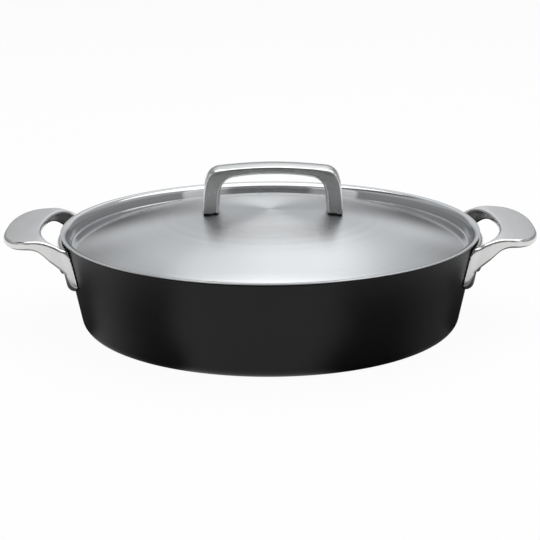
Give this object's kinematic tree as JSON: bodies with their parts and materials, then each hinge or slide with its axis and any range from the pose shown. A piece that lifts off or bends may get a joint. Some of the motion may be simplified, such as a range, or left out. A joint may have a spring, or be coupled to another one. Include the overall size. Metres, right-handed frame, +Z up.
{
  "type": "roasting pan with lid",
  "caption": "Low round roasting pan with a black coated body, riveted cast side handles and a domed brushed steel lid with a bridge handle that lifts off.",
  "frame": {"origin": "centre of the rest face under the base", "axes": "+Z up through the lid, +X through the right side handle, -Y towards the viewer of the picture"},
  "size_m": [0.3648, 0.288, 0.11],
  "materials": {
    "pan_coating": "satin black non-stick coating on cast aluminium",
    "base_steel": "ground ferritic steel disc",
    "handle_steel": "satin cast stainless steel with polished edges",
    "rivet_steel": "plain stainless steel",
    "lid_steel": "circular brushed stainless steel sheet",
    "gasket_rubber": "matte black silicone rubber"
  },
  "bodies": {
    "pan": {"pan_body": "pan_coating", "base_disc": "base_steel", "side_handle_left": "handle_steel", "side_handle_right": "handle_steel", "handle_rivet_left_front": "rivet_steel", "handle_rivet_left_rear": "rivet_steel", "handle_rivet_right_front": "rivet_steel", "handle_rivet_right_rear": "rivet_steel"},
    "lid": {"lid_shell": "lid_steel", "lid_handle": "handle_steel", "lid_handle_gasket_left": "gasket_rubber", "lid_handle_gasket_right": "gasket_rubber", "lid_screw_left": "rivet_steel", "lid_screw_right": "rivet_steel"}
  },
  "joints": [
    {"name": "lid_lift", "type": "slide", "parent": "pan", "child": "lid", "axis": [0, 0, 1], "range_m": [0, 0.15]}
  ]
}
